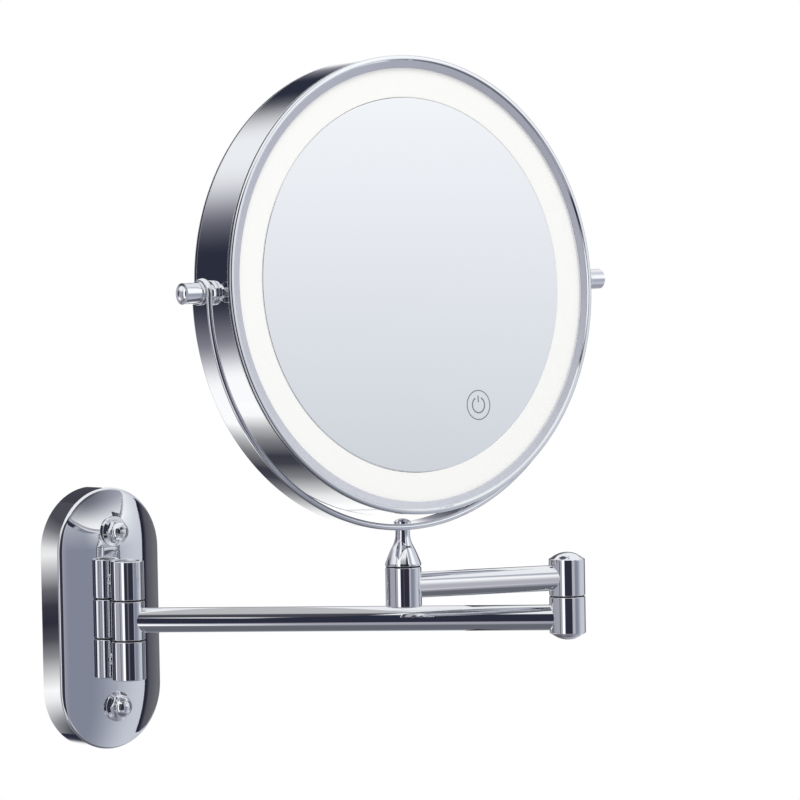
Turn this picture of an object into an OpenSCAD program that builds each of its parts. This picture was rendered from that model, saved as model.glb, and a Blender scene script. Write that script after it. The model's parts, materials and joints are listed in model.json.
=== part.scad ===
/* [Mirror head] */
// Outer radius of the round mirror head
head_r = 105.4; // [105:0.1:106]
// Depth of the head, front rim to rear rim
head_d = 28.5; // [28:0.5:30]
// Radius of the plain front mirror
glass_r = 86; // [70:1:88]
// Inner radius of the two chrome rims
rim_inner_r = 99.5; // [98:0.1:100]
// Wall thickness of the drum
band_t = 1.5; // [1:0.1:2]
// Radius of curvature of the magnifying mirror
magnifier_radius = 1500; // [1200:50:3000]
// Number of LEDs behind the light ring
led_count = 36; // [12:1:48]

/* [Yoke] */
// Outer radius of the half ring
yoke_r = 112.5; // [112.4:0.1:120]
// Thickness of the half ring
yoke_t = 3; // [2:0.1:3]
// Width of the half ring
yoke_w = 13; // [10:0.5:15]
// Radius of the round eyes at its ends
eye_r = 6.8; // [6.6:0.1:8]
// Diameter of the knobs outside the eyes
knob_d = 9.6; // [9:0.1:12]
// Length of each knob with its dome
knob_l = 11; // [10:0.5:16]

/* [Arms] */
// Radius of the elbow knuckles and the yoke base
knuckle_r = 8.5; // [8.4:0.1:10]
// Radius of the hinge knuckles on the wall plate
wall_knuckle_r = 8; // [7.8:0.1:9]
// Outer radius of the arm tubes
tube_r = 6; // [5:0.1:6]
// Wall of the arm tubes
tube_t = 1.2; // [0.8:0.1:1.5]
// Length of the lower arm between its hinge axes
lower_len = 209; // [180:1:240]
// Length of the upper arm between its hinge axes
upper_len = 81.5; // [70:1:100]
// Height of each hinge knuckle on the wall plate, with its washer
wall_pitch = 19.1; // [18:0.1:22]
// Height of the join between the elbow knuckles, over the lower tube's axis
elbow_join = 10.2; // [9.5:0.1:12]
// Height of each elbow knuckle without its dome
elbow_h = 17.4; // [16:0.1:20]
// Height of the domes on the elbow
elbow_dome = 3.2; // [2:0.1:4]
// Height of the pivot axis over the upper tube's axis
pivot_rise = 138.5; // [138:0.1:150]
// Radius of the hinge pins
pin_r = 4; // [3:0.1:4]

/* [Wall plate] */
// Width of the wall cover
plate_w = 60; // [58:1:70]
// Height of the wall cover
plate_h = 125; // [120:1:160]
// Height of the cover's straight side wall
plate_rim = 14; // [12:0.5:15]
// Height of the cover's crown over its side wall
plate_crown = 4.4; // [3:0.1:4.5]
// Sheet thickness of the cover
cover_t = 1; // [0.8:0.1:1.2]
// Distance of the wall hinge axis from the wall
hinge_off = 27.6; // [27.4:0.1:30]
// Height of each cap nut over or under the plate's centre
nut_rise = 41.8; // [40:0.1:46]
// Distance between the two wall screws
screw_spacing = 60; // [56:1:64]

/* [Rest pose] */
// Turn of the lower arm about the wall hinge, from along the wall to the right
lower_turn = -48; // [-175:1:-5]
// Turn of the upper arm, from along the wall to the right
upper_turn = 157.9; // [90:0.1:270]
// Turn of the yoke, from parallel with the wall
yoke_turn = -3.6; // [-45:0.1:45]
// Upward tilt of the mirror in its yoke
head_tilt = 3.5; // [-30:0.1:30]

/* [Hidden] */
$fn = 96;
eps = 0.01;
run = 0.05;          // radial clearance of a turning fit
socket = 3;          // depth of the tubes' sockets in the knuckles
face_gap = 0.2;      // gap beside each hinge washer
washer_t = 0.4;      // nylon hinge washers
thread_core_r = 2.5; // M5 studs and screws

elbow = [lower_len * cos(lower_turn), lower_len * sin(lower_turn) - hinge_off, 0];
upper_z = elbow_join + elbow_h / 2;
stand = elbow + [upper_len * cos(upper_turn), upper_len * sin(upper_turn), upper_z];
head_c = stand + [0, 0, pivot_rise];

base_low = -9.8;     // yoke base cylinder, relative to the upper tube's axis
base_high = 8.7;
neck_low = base_high + washer_t;
neck_high = pivot_rise - yoke_r;
// Shape of the neck above its foot: radius, and share of the way up
neck_shape = [[8.5, 0], [7.15, 0.22], [5.75, 0.42], [4.6, 0.56], [3.9, 0.68], [3.5, 0.8], [3.4, 1]];
half_d = head_d / 2;
rim_screw_angle = -70;
rim_depth = 2.5;
glass_front = half_d - 2.5; // both mirrors and the light ring lie this far inside the rims
glass_back = glass_front - 2.5;
core_z = 3;
touch_at = [34.2, -56.8]; // middle of the touch key on the front mirror
half_pitch = wall_pitch / 2;
knuckle_h = wall_pitch - washer_t - face_gap;
crown_top = plate_rim + plate_crown;
backing_front = crown_top - cover_t - 0.9;
backing_t = 2;
stem_r = 3.5;
stem_thread_r = 3;

// ---- places ----
module at_lower_arm() translate([0, -hinge_off, 0]) rotate(lower_turn) children();
module at_elbow() translate(elbow) rotate(upper_turn) children();
module at_stand() translate(stand) rotate(yoke_turn) children();
// The yoke and head frames: Z out of the mirror's face, X along the pivot axis
module at_yoke() translate(head_c) rotate(yoke_turn) rotate([90, 0, 0]) children();
module at_head() translate(head_c) rotate(yoke_turn) rotate([90 - head_tilt, 0, 0]) children();
module on_both_sides() for (side = [0, 180]) rotate([0, side, 0]) children();

// ---- shared shapes ----
// Upright cylinder with a small chamfer at both ends
module barrel(r, low, high, edge = 0.5) {
    rotate_extrude() polygon([[0, low], [r - edge, low], [r, low + edge],
        [r, high - edge], [r - edge, high], [0, high]]);
}
// Upright ring
module ring(outer, inner, low, high) {
    translate([0, 0, low]) difference() {
        cylinder(r = outer, h = high - low);
        translate([0, 0, -1]) cylinder(r = inner, h = high - low + 2);
    }
}
// Spherical cap of base radius r and height h, standing on z = 0
module dome(r, h, steps = 8) {
    sphere_r = (r * r + h * h) / (2 * h);
    reach = asin(r / sphere_r);
    rotate_extrude() polygon(concat([[0, 0]], [for (i = [0 : steps])
        let (a = reach * (1 - i / steps))
        [sphere_r * sin(a), sphere_r * cos(a) - sphere_r + h]]));
}
// Hollow tube lying along X, from one x to another
module tube_x(r, wall, from, to) {
    translate([from, 0, 0]) rotate([0, 90, 0]) difference() {
        cylinder(r = r, h = to - from);
        translate([0, 0, -1]) cylinder(r = r - wall, h = to - from + 2);
    }
}
module rod_x(r, from, to) translate([from, 0, 0]) rotate([0, 90, 0]) cylinder(r = r, h = to - from);
// Rod that stands out from the wall, between two distances from it
module rod_out(r, from, to) translate([0, -from, 0]) rotate([90, 0, 0]) cylinder(r = r, h = to - from);
module hex_out(across, from, to) translate([0, -from, 0]) rotate([90, 0, 0])
    cylinder(d = across / cos(30), h = to - from, $fn = 6);
// Stadium slab against the wall
module stadium_slab(w, h, from, to) {
    for (side = [-1, 1]) translate([0, 0, side * (h - w) / 2]) rod_out(w / 2, from, to);
    translate([-w / 2, -to, -(h - w) / 2]) cube([w, to - from, h - w]);
}
// Outline of half the crowned cover: from its centre out to its edge, then back to the wall
function crown_points(half_w, rim, crown, edge, steps = 10) =
    let (curve_r = (half_w * half_w + crown * crown) / (2 * crown), reach = asin(half_w / curve_r))
    concat([[0, 0]], [for (i = [0 : steps]) let (a = reach * i / steps)
        i == steps ? [half_w - edge, rim] : [curve_r * sin(a), curve_r * cos(a) - curve_r + crown + rim]],
        [[half_w, rim - edge], [half_w, 0]]);
// Solid stadium with a crowned face, standing out from the wall
module crowned_stadium(w, h, rim, crown, edge) {
    pts = crown_points(w / 2, rim, crown, edge);
    straight = h - w;
    for (side = [-1, 1]) translate([0, 0, side * straight / 2]) rotate([90, 0, 0]) rotate_extrude() polygon(pts);
    translate([0, 0, -straight / 2]) linear_extrude(straight)
        for (side = [0, 1]) mirror([side, 0]) polygon([for (p = pts) [p.x, -p.y]]);
}

// ---- wall mount ----
module wall_bracket() color("silver") difference() {
    stadium_slab(44, 106, 0, 2);
    for (side = [-1, 1]) {
        translate([0, 1, side * screw_spacing / 2]) rod_out(2.6, 0, 4);
        translate([0, 1, side * nut_rise]) rod_out(thread_core_r, 0, 4);
    }
}
module cover_studs() color("silver") for (side = [-1, 1])
    translate([0, 0, side * nut_rise]) rod_out(thread_core_r, 0, crown_top + 4);
module wall_cover() color("gainsboro") difference() {
    crowned_stadium(plate_w, plate_h, plate_rim, plate_crown, 1);
    translate([0, eps, 0]) crowned_stadium(plate_w - 2 * cover_t, plate_h - 2 * cover_t,
        plate_rim - cover_t, plate_crown, 0.1);
    for (side = [-1, 1]) {
        translate([0, 0, side * nut_rise]) rod_out(2.8, 5, 25);
        translate([0, 0, side * wall_pitch]) rod_out(stem_r + 0.1, 5, 25);
    }
}
// Flanged acorn nut
module cap_nut() {
    flange_top = crown_top + 0.5;
    hex_h = 3.6;
    rod_out(7.2, plate_rim, flange_top);
    translate([0, -flange_top, 0]) rotate([90, 0, 0]) cylinder(r1 = 7.2, r2 = 5.6, h = 1);
    hex_out(10, flange_top, flange_top + hex_h);
    translate([0, -flange_top - hex_h, 0]) rotate([90, 0, 0]) dome(4.9, 3.4);
}
module cap_nuts() color("gainsboro") difference() {
    for (side = [-1, 1]) translate([0, 0, side * nut_rise]) cap_nut();
    crowned_stadium(plate_w, plate_h, plate_rim, plate_crown + 0.03, 1);
    cover_studs();
}
module backing_plate() color("silver") difference() {
    translate([-12, -backing_front, -31]) cube([24, backing_t, 62]);
    for (side = [-1, 1]) translate([0, 0, side * wall_pitch]) rod_out(stem_thread_r, 5, 25);
}
// A fixed hinge knuckle with its round stem, which steps down to a threaded end inside the cover
module knuckle_body() {
    translate([0, -hinge_off, 0]) barrel(wall_knuckle_r, -knuckle_h / 2, knuckle_h / 2);
    rod_out(stem_r, backing_front, hinge_off - 1);
    rod_out(stem_thread_r, 6, hinge_off - 1);
}
module pin_hole(r) translate([0, -hinge_off, -50]) cylinder(r = r, h = 100);
module upper_knuckle() color("gainsboro") difference() {
    translate([0, 0, wall_pitch]) knuckle_body();
    pin_hole(pin_r);
}
module lower_knuckle() color("gainsboro") difference() {
    translate([0, 0, -wall_pitch]) knuckle_body();
    pin_hole(pin_r);
}
module knuckle_nuts() color("silver") for (side = [-1, 1]) translate([0, 0, side * wall_pitch])
    difference() {
        hex_out(10, backing_front - backing_t - 5, backing_front - backing_t - 0.05);
        rod_out(stem_thread_r, 5, 20);
    }
// Headed pin: a shallow domed head on each end closes the stack
module hinge_pin() color("gainsboro") translate([0, -hinge_off, 0]) {
    stack = 1.5 * wall_pitch - (washer_t + face_gap) / 2;
    translate([0, 0, -stack]) cylinder(r = pin_r, h = 2 * stack);
    for (side = [0, 180]) rotate([side, 0, 0]) translate([0, 0, stack]) dome(6.6, 0.9);
}
module hinge_washers() color("dimgray") translate([0, -hinge_off, 0]) for (side = [-1, 1])
    translate([0, 0, side * half_pitch]) ring(wall_knuckle_r - 0.5, pin_r + run, -washer_t / 2, washer_t / 2);

// ---- lower arm ----
module arm_knuckle() color("gainsboro") at_lower_arm() difference() {
    barrel(wall_knuckle_r, -knuckle_h / 2, knuckle_h / 2);
    translate([0, 0, -20]) cylinder(r = pin_r + run, h = 40);
    rod_x(tube_r, wall_knuckle_r - socket, wall_knuckle_r + 5);
}
module lower_tube() color("gainsboro") at_lower_arm()
    tube_x(tube_r, tube_t, wall_knuckle_r - socket, lower_len - knuckle_r + socket);
module elbow_lower_knuckle() color("gainsboro") at_lower_arm() translate([lower_len, 0, 0]) difference() {
    union() {
        barrel(knuckle_r, elbow_join - elbow_h, elbow_join - washer_t / 2 - face_gap / 2);
        translate([0, 0, elbow_join - elbow_h]) mirror([0, 0, 1]) dome(knuckle_r - 0.5, elbow_dome);
    }
    translate([0, 0, elbow_join - elbow_h + 3]) cylinder(r = pin_r, h = elbow_h);
    rod_x(tube_r, -knuckle_r - 5, socket - knuckle_r);
}
module elbow_pin() color("silver") at_lower_arm() translate([lower_len, 0, elbow_join - elbow_h + 3])
    cylinder(r = pin_r, h = 2 * elbow_h - 7);

// ---- upper arm ----
module elbow_upper_knuckle() color("gainsboro") at_elbow() difference() {
    union() {
        barrel(knuckle_r, elbow_join + washer_t / 2 + face_gap / 2, elbow_join + elbow_h);
        translate([0, 0, elbow_join + elbow_h]) dome(knuckle_r - 0.5, elbow_dome);
    }
    cylinder(r = pin_r + run, h = elbow_join + elbow_h - 3);
    translate([0, 0, upper_z]) rod_x(tube_r, knuckle_r - socket, knuckle_r + 5);
}
module elbow_washer() color("dimgray") at_elbow() translate([0, 0, elbow_join])
    ring(knuckle_r - 0.5, pin_r + run, -washer_t / 2, washer_t / 2);
module upper_tube() color("gainsboro") at_elbow() translate([0, 0, upper_z])
    tube_x(tube_r, tube_t, knuckle_r - socket, upper_len - knuckle_r + socket);
module yoke_base() color("gainsboro") at_elbow() translate([upper_len, 0, upper_z]) difference() {
    barrel(knuckle_r, base_low, base_high, 0.8);
    translate([0, 0, base_low - 1]) cylinder(r = pin_r + run, h = base_high - base_low + 2);
    translate([0, 0, base_low - 1]) cylinder(r = 6.5, h = 4);
    rod_x(tube_r, -knuckle_r - 5, socket - knuckle_r);
}
module swivel_washer() color("dimgray") at_elbow() translate([upper_len, 0, upper_z + base_high])
    ring(knuckle_r - 0.5, pin_r + run, 0, washer_t);

// ---- yoke ----
// Bottle-shaped neck with the spigot that turns in the base
module yoke_neck() color("gainsboro") at_stand() {
    low = neck_low + face_gap;
    high = neck_high;
    difference() {
        rotate_extrude() polygon(concat(
            [[0, low], [knuckle_r - 0.4, low], [knuckle_r, low + 0.4], [knuckle_r, low + 1]],
            [for (point = neck_shape) if (point[1] > 0) [point[0], low + 1 + (high - low - 1) * point[1]]],
            [[0, high]]));
        translate([0, 0, high - 6]) cylinder(r = thread_core_r, h = 8);
    }
    translate([0, 0, base_low + 1]) cylinder(r = pin_r, h = low - base_low - 1 + eps);
}
// Clip in the base's recess, on the end of the spigot
module swivel_clip() color("silver") at_stand() ring(6, pin_r, base_low + 1, base_low + 2.7);
module yoke_ring() color("gainsboro") at_yoke() difference() {
    intersection() {
        union() {
            ring(yoke_r, yoke_r - yoke_t, -yoke_w / 2, yoke_w / 2);
            ring(yoke_r, yoke_r - yoke_t, -eye_r, eye_r);
        }
        union() {
            translate([-yoke_r - 1, -yoke_r - 1, -yoke_w / 2]) cube([2 * yoke_r + 2, yoke_r + 1, yoke_w]);
            rod_x(eye_r, -yoke_r - 1, yoke_r + 1);
        }
    }
    rod_x(thread_core_r + run, -yoke_r - 2, yoke_r + 2);
    rotate([90, 0, 0]) translate([0, 0, yoke_r - 10]) cylinder(r = thread_core_r, h = 20);
}
module yoke_screw() color("silver") at_yoke() rotate([90, 0, 0]) {
    seat = yoke_r - yoke_t - 0.1;
    translate([0, 0, seat]) cylinder(r = thread_core_r, h = yoke_t + 5);
    translate([0, 0, seat]) mirror([0, 0, 1]) {
        cylinder(r = 4, h = 0.8);
        translate([0, 0, 0.8]) dome(4, 1.5);
    }
}

// ---- mirror head ----
module drum_band() color("gainsboro") at_head() difference() {
    ring(head_r, head_r - band_t, rim_depth - half_d, half_d - rim_depth);
    rod_x(thread_core_r, -head_r - 1, head_r + 1);
    rim_screw_rod(0);
}
// Small radial screw low on the drum, through the band into the front rim
module rim_screw_rod(inset) rotate(rim_screw_angle) translate([0, 0, half_d - 4]) rod_x(1.1, head_r - 3, head_r - inset);
// Rim that holds the glass from outside.
// A nearly flat band stands over the glass, with a narrow bead outside it
module rim_profile() polygon([
    [rim_inner_r, glass_front + 0.05], [rim_inner_r, glass_front + 1.2], [rim_inner_r + 0.2, glass_front + 1.4],
    [head_r - 2.5, half_d - 0.7], [head_r - 1.9, half_d], [head_r - 0.8, half_d],
    [head_r - 0.25, half_d - 0.25], [head_r, half_d - 0.8],
    [head_r, half_d - rim_depth], [head_r - band_t - 0.1, half_d - rim_depth],
    [head_r - band_t - 0.1, half_d - 5.5], [head_r - 3, half_d - 5.5], [head_r - 3, glass_front + 0.05]]);
module front_rim() color("gainsboro") at_head() difference() {
    rotate_extrude() rim_profile();
    rim_screw_rod(0);
}
module rear_rim() color("gainsboro") at_head() mirror([0, 0, 1]) rotate_extrude() rim_profile();
module front_mirror() color("lightsteelblue") at_head()
    translate([0, 0, glass_back]) barrel(glass_r, 0, glass_front - glass_back, 0.3);
// Dished glass: its reflecting face is hollow towards the back
module magnifying_mirror() color("lightsteelblue") at_head() mirror([0, 0, 1]) {
    edge_r = head_r - 3.1;
    dish = edge_r * edge_r / (2 * magnifier_radius);
    steps = 8;
    face = [for (i = [0 : steps]) let (x = edge_r * i / steps) [x, glass_front - dish + x * x / (2 * magnifier_radius)]];
    rotate_extrude() polygon(concat(face, [for (i = [steps : -1 : 0]) face[i] - [0, 2]]));
}
module light_ring() color("ivory") at_head()
    ring(head_r - 3.1, glass_r + 0.2, glass_front - 2.2, glass_front);
module led_board() color("white") at_head() ring(98, 88, core_z + 1.1, core_z + 1.9);
module leds() color("lightyellow") at_head() for (i = [0 : led_count - 1])
    rotate(i * 360 / led_count) translate([91.5, -1.4, core_z + 2]) cube([3, 2.8, 0.9]);
module core_plate() color("whitesmoke") at_head() difference() {
    translate([0, 0, core_z]) cylinder(r = head_r - band_t - 0.4, h = 1);
    translate([-27, -18, 0]) cube([54, 60, 10]);
    on_both_sides() translate([head_r - 16, -6, -10]) cube([20, 12, 20]);
}
module control_board() color("seagreen") at_head() {
    translate([-72, -52, core_z - 1.9]) cube([32, 22, 1.6]);
    for (x = [-68, -58, -48]) translate([x, -46, core_z - 3.4]) cube([5, 8, 1.4]);
}
module touch_pad() color("goldenrod") at_head() translate([touch_at.x, touch_at.y, glass_back - 1.2])
    cylinder(r = 9, h = 1);
// Open tray for four cells lying side by side
module battery_box() color("dimgray") at_head() difference() {
    translate([-26, -17, -5.2]) cube([52, 58, 13]);
    translate([-24.5, -15.5, -3.8]) cube([49, 55, 13]);
}
module batteries() color("darkslategray") at_head() for (i = [0 : 3])
    translate([-16.5 + 11 * i, i % 2 == 0 ? -9.5 : -11, 1.6]) rotate([-90, 0, 0]) {
        cylinder(r = 5.2, h = 43);
        translate([0, 0, 43 - eps]) cylinder(r = 1.9, h = 1.2);
    }
// Conical coil contacts at alternate ends, drawn as turned stacks
module battery_springs() color("silver") at_head() for (i = [0 : 3])
    translate([-16.5 + 11 * i, i % 2 == 0 ? -9.7 : -11.2, 1.6]) rotate([90, 0, 0]) {
        cylinder(r1 = 3.6, r2 = 2.2, h = i % 2 == 0 ? 5.6 : 4.1);
    }
module lead_wires() color("firebrick") at_head() for (r = [62, 64]) translate([0, 0, core_z - 1.6])
    rotate([0, 0, 118]) rotate_extrude(angle = 84) translate([r, 0]) circle(r = 0.6, $fn = 16);
module pivot_screws() color("silver") at_head() on_both_sides() {
    rod_x(thread_core_r, head_r - 12, yoke_r + 8);
    rod_x(3.9, head_r - 14, head_r - 12);
}
module pivot_bushes() color("silver") at_head() on_both_sides() difference() {
    rod_x(4, head_r - 11.8, head_r - band_t - 0.3);
    rod_x(thread_core_r, 0, yoke_r);
}
// Collar beside the drum, with a narrower waist beside the yoke
module pivot_spacers() color("gainsboro") at_head() on_both_sides() difference() {
    union() {
        rod_x(5.6, head_r + 0.05, head_r + 1.7);
        rod_x(4.2, head_r + 0.05, yoke_r - yoke_t - 0.3);
    }
    rod_x(thread_core_r, 0, yoke_r);
}
module pivot_washers() color("gainsboro") at_head() on_both_sides() difference() {
    rod_x(knob_d / 2 + 0.6, yoke_r + 0.3, yoke_r + 1.3);
    rod_x(thread_core_r, 0, yoke_r + 5);
}
module knob() difference() {
    start = yoke_r + 1.4;
    dome_h = 2.6;
    union() {
        rod_x(knob_d / 2, start, start + knob_l - dome_h);
        translate([start + knob_l - dome_h, 0, 0]) rotate([0, 90, 0]) dome(knob_d / 2, dome_h);
    }
    rod_x(thread_core_r, 0, yoke_r + 8);
}
module right_knob() color("gainsboro") at_head() knob();
module left_knob() color("gainsboro") at_head() rotate([0, 180, 0]) knob();
module rim_screw() color("dimgray") at_head() rim_screw_rod(0.5);

wall_bracket();
cover_studs();
wall_cover();
cap_nuts();
backing_plate();
upper_knuckle();
lower_knuckle();
knuckle_nuts();
hinge_pin();
hinge_washers();
arm_knuckle();
lower_tube();
elbow_lower_knuckle();
elbow_pin();
elbow_upper_knuckle();
elbow_washer();
upper_tube();
yoke_base();
swivel_washer();
yoke_neck();
swivel_clip();
yoke_ring();
yoke_screw();
drum_band();
front_rim();
rear_rim();
front_mirror();
magnifying_mirror();
light_ring();
led_board();
leds();
core_plate();
control_board();
touch_pad();
battery_box();
batteries();
battery_springs();
lead_wires();
pivot_screws();
pivot_spacers();
pivot_bushes();
pivot_washers();
left_knob();
right_knob();
rim_screw();
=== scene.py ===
"""Looks of the extendable shaving mirror: detailed chrome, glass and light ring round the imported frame."""
import json
import math

import bmesh
import bpy
from mathutils import Matrix, Vector


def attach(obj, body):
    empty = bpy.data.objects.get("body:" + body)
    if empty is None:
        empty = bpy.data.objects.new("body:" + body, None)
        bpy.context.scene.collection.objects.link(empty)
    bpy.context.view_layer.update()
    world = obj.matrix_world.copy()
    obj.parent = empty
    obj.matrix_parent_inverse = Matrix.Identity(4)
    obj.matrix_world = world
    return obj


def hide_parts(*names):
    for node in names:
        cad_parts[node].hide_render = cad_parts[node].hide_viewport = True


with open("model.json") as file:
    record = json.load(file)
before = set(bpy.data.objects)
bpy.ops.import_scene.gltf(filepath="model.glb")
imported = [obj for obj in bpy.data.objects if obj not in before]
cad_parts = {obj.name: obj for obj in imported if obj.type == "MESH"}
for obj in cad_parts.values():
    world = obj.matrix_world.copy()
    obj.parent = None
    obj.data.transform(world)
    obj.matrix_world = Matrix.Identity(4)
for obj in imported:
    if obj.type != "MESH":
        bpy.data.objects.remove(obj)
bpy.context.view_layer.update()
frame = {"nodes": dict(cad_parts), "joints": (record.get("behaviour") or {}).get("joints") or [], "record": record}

MM = 0.001

# ---- sizes in millimetres, as in the CAD part ----
HEAD_R, HALF_D, RIM_DEPTH, BAND_T = 105.4, 14.25, 2.5, 1.5
SEAM_LOW, SEAM_HIGH = 1.95, 0.95    # dark line behind each rim's bead, below the rim's top: a dark ring in a groove, painted shade of that groove
GROOVE_DEPTH = 0.9                  # of that line
SATIN_R = HEAD_R - 2.6              # the rim is satin inside this and polished outside it
GLASS_R, RIM_INNER_R, GLASS_EDGE_R = 86.0, 99.5, HEAD_R - 3.1
GLASS_FRONT = HALF_D - 2.5
GLASS_BACK = GLASS_FRONT - 2.5
MAGNIFIER_RADIUS = 1500.0
YOKE_R, YOKE_T, YOKE_W, EYE_R = 112.5, 3.0, 13.0, 6.8
KNOB_R, KNOB_L, KNOB_START = 4.8, 11.0, 113.9
KNUCKLE_R, WALL_KNUCKLE_R, TUBE_R, TUBE_T, SOCKET = 8.5, 8.0, 6.0, 1.2, 3.0
LOWER_LEN, UPPER_LEN = 209.0, 81.5
WALL_PITCH, KNUCKLE_H = 19.1, 18.5
ELBOW_JOIN, ELBOW_H, ELBOW_DOME = 10.2, 17.4, 3.2
JOIN_GAP = 0.3            # half of a hinge washer with half of the gap beside it
UPPER_Z = 18.9
BASE_LOW, BASE_HIGH = -9.8, 8.7
NECK_LOW, NECK_HIGH = 9.3, 26.0
NECK_SHAPE = [(8.5, 0), (7.15, 0.22), (5.75, 0.42), (4.6, 0.56), (3.9, 0.68), (3.5, 0.8), (3.4, 1)]
STEM_R = 3.5
PIN_R, PIN_HEAD_R, PIN_HEAD_H = 4.0, 6.6, 0.9
BORE_R = 4.05              # of the barrels that turn on a pin
SCREW_R = 2.5
PLATE_W, PLATE_H, PLATE_RIM, PLATE_CROWN, COVER_T = 60.0, 125.0, 14.0, 4.4, 1.0
COVER_EDGE, COVER_INNER_EDGE = 1.6, 0.3
HINGE_OFF, BACKING_FRONT, NUT_RISE = 27.6, 16.5, 41.8
LOWER_TURN, UPPER_TURN, HEAD_TILT = -48.0, 157.9, 3.5
ICON_AT, ICON_R = (34.2, -56.8), 6.75

# ---- places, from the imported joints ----
JOINTS = {j["name"]: j for j in frame["joints"]}


def joint_at(name):
    return Matrix.Translation(Vector(JOINTS[name]["pos_m"]))


def turned(degrees, axis="Z"):
    return Matrix.Rotation(math.radians(degrees), 4, axis)


pivot = Vector(JOINTS["head_tilt"]["axis"])
YOKE_TURN = math.degrees(math.atan2(pivot.y, pivot.x))
AT_WALL = joint_at("wall_swing")
AT_LOWER_ARM = AT_WALL @ turned(LOWER_TURN)
AT_ELBOW = joint_at("elbow_swing") @ turned(UPPER_TURN)
AT_STAND = joint_at("yoke_swivel")
AT_YOKE = joint_at("head_tilt") @ turned(YOKE_TURN) @ turned(90, "X")
AT_HEAD = joint_at("head_tilt") @ turned(YOKE_TURN) @ turned(90 - HEAD_TILT, "X")
OUT_OF_WALL = turned(90, "X")     # local Z points out from the wall, local Y is up
LYING = turned(90, "Y")           # local Z points along X


def moved(x, y, z):
    return Matrix.Translation(Vector((x, y, z)) * MM)


# ---- mesh helpers, all in millimetres until a piece is made ----
def rounded(points, steps=5, closed=False):
    """Points (r, z) or (r, z, corner radius), with the corners turned into arcs."""
    out, count = [], len(points)
    for i, point in enumerate(points):
        corner = Vector(point[:2])
        if len(point) < 3 or (not closed and i in (0, count - 1)):
            out.append(tuple(corner))
            continue
        to_last = (Vector(points[i - 1][:2]) - corner).normalized()
        to_next = (Vector(points[(i + 1) % count][:2]) - corner).normalized()
        half = to_last.angle(to_next) / 2
        radius, bisector = point[2], (to_last + to_next).normalized()
        centre = corner + bisector * radius / math.sin(half)
        start = corner + to_last * radius / math.tan(half) - centre
        sweep = math.pi - 2 * half
        side = 1 if to_last.x * to_next.y - to_last.y * to_next.x < 0 else -1
        for k in range(steps + 1):
            a = side * sweep * k / steps
            out.append((centre.x + start.x * math.cos(a) - start.y * math.sin(a),
                        centre.y + start.x * math.sin(a) + start.y * math.cos(a)))
    return out


def dome_points(radius, base, height, steps=10):
    """Profile of a spherical cap from its edge at (radius, base) to its top on the axis."""
    sphere_r = (radius ** 2 + height ** 2) / (2 * abs(height))
    reach = math.asin(min(1, radius / sphere_r))
    sign = 1 if height > 0 else -1
    return [(sphere_r * math.sin(reach * (1 - i / steps)),
             base + sign * (sphere_r * math.cos(reach * (1 - i / steps)) - sphere_r + abs(height)))
            for i in range(steps + 1)]


def smooth_curve(points, steps=7):
    """Catmull-Rom curve through (x, y) points."""
    ends = [points[0], *points, points[-1]]
    out = [points[0]]
    for a, b, c, d in zip(ends, ends[1:], ends[2:], ends[3:]):
        for i in range(1, steps + 1):
            t = i / steps
            out.append(tuple(0.5 * (2 * b[k] + (c[k] - a[k]) * t
                                    + (2 * a[k] - 5 * b[k] + 4 * c[k] - d[k]) * t ** 2
                                    + (3 * b[k] - a[k] - 3 * c[k] + d[k]) * t ** 3) for k in (0, 1)))
    return out


def lathe(profile, segments=96, closed=False):
    """Vertices and faces of a profile of (r, z) turned about Z. A closed profile makes a ring."""
    verts, rows = [], []
    for r, z in profile:
        if r < 1e-6:
            rows.append([len(verts)] * segments)
            verts.append((0, 0, z))
        else:
            rows.append([len(verts) + i for i in range(segments)])
            verts += [(r * math.cos(math.tau * i / segments), r * math.sin(math.tau * i / segments), z)
                      for i in range(segments)]
    faces = []
    pairs = list(zip(rows, rows[1:])) + ([(rows[-1], rows[0])] if closed else [])
    for low, high in pairs:
        for i in range(segments):
            j = (i + 1) % segments
            face = [low[i], low[j], high[j], high[i]]
            face = [v for k, v in enumerate(face) if v != face[k - 1]]
            if len(face) > 2:
                faces.append(face)
    return verts, faces


def bridged(loops, cap_ends=False):
    """Vertices and faces of equal loops of points, joined one to the next."""
    verts = [p for loop in loops for p in loop]
    n, faces = len(loops[0]), []
    for a in range(0, len(verts) - n, n):
        b = a + n
        faces += [(a + i, a + (i + 1) % n, b + (i + 1) % n, b + i) for i in range(n)]
    if cap_ends:
        faces += [tuple(range(n)), tuple(range(len(verts) - n, len(verts)))]
    return verts, faces


def joined(*parts):
    """One mesh of several (vertices, faces[, matrix in metres]) parts."""
    verts, faces = [], []
    for part in parts:
        matrix = part[2] if len(part) > 2 else Matrix.Identity(4)
        start = len(verts)
        verts += [tuple((matrix @ (Vector(v) * MM)) / MM) for v in part[0]]
        faces += [tuple(start + i for i in face) for face in part[1]]
    return verts, faces


def piece(name, shape, at, body, slot, replaces=(), sharp=32, flat=False):
    """A finished piece of the object, in the row frame, riding on a body."""
    mesh = bpy.data.meshes.new(name)
    mesh.from_pydata([tuple(at @ (Vector(v) * MM)) for v in shape[0]], [], shape[1])
    bm = bmesh.new()
    bm.from_mesh(mesh)
    bmesh.ops.remove_doubles(bm, verts=bm.verts, dist=1e-7)
    bmesh.ops.recalc_face_normals(bm, faces=bm.faces)
    bm.to_mesh(mesh)
    bm.free()
    mesh.shade_smooth()
    mesh.set_sharp_from_angle(angle=math.radians(sharp))
    made = bpy.data.objects.new(name, mesh)
    bpy.context.scene.collection.objects.link(made)
    if not flat:
        weighted = made.modifiers.new("weighted", "WEIGHTED_NORMAL")
        weighted.keep_sharp = True
    made.data.materials.append(MATERIALS[slot])
    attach(made, body)
    if replaces:
        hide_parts(*replaces)
    return made


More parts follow.
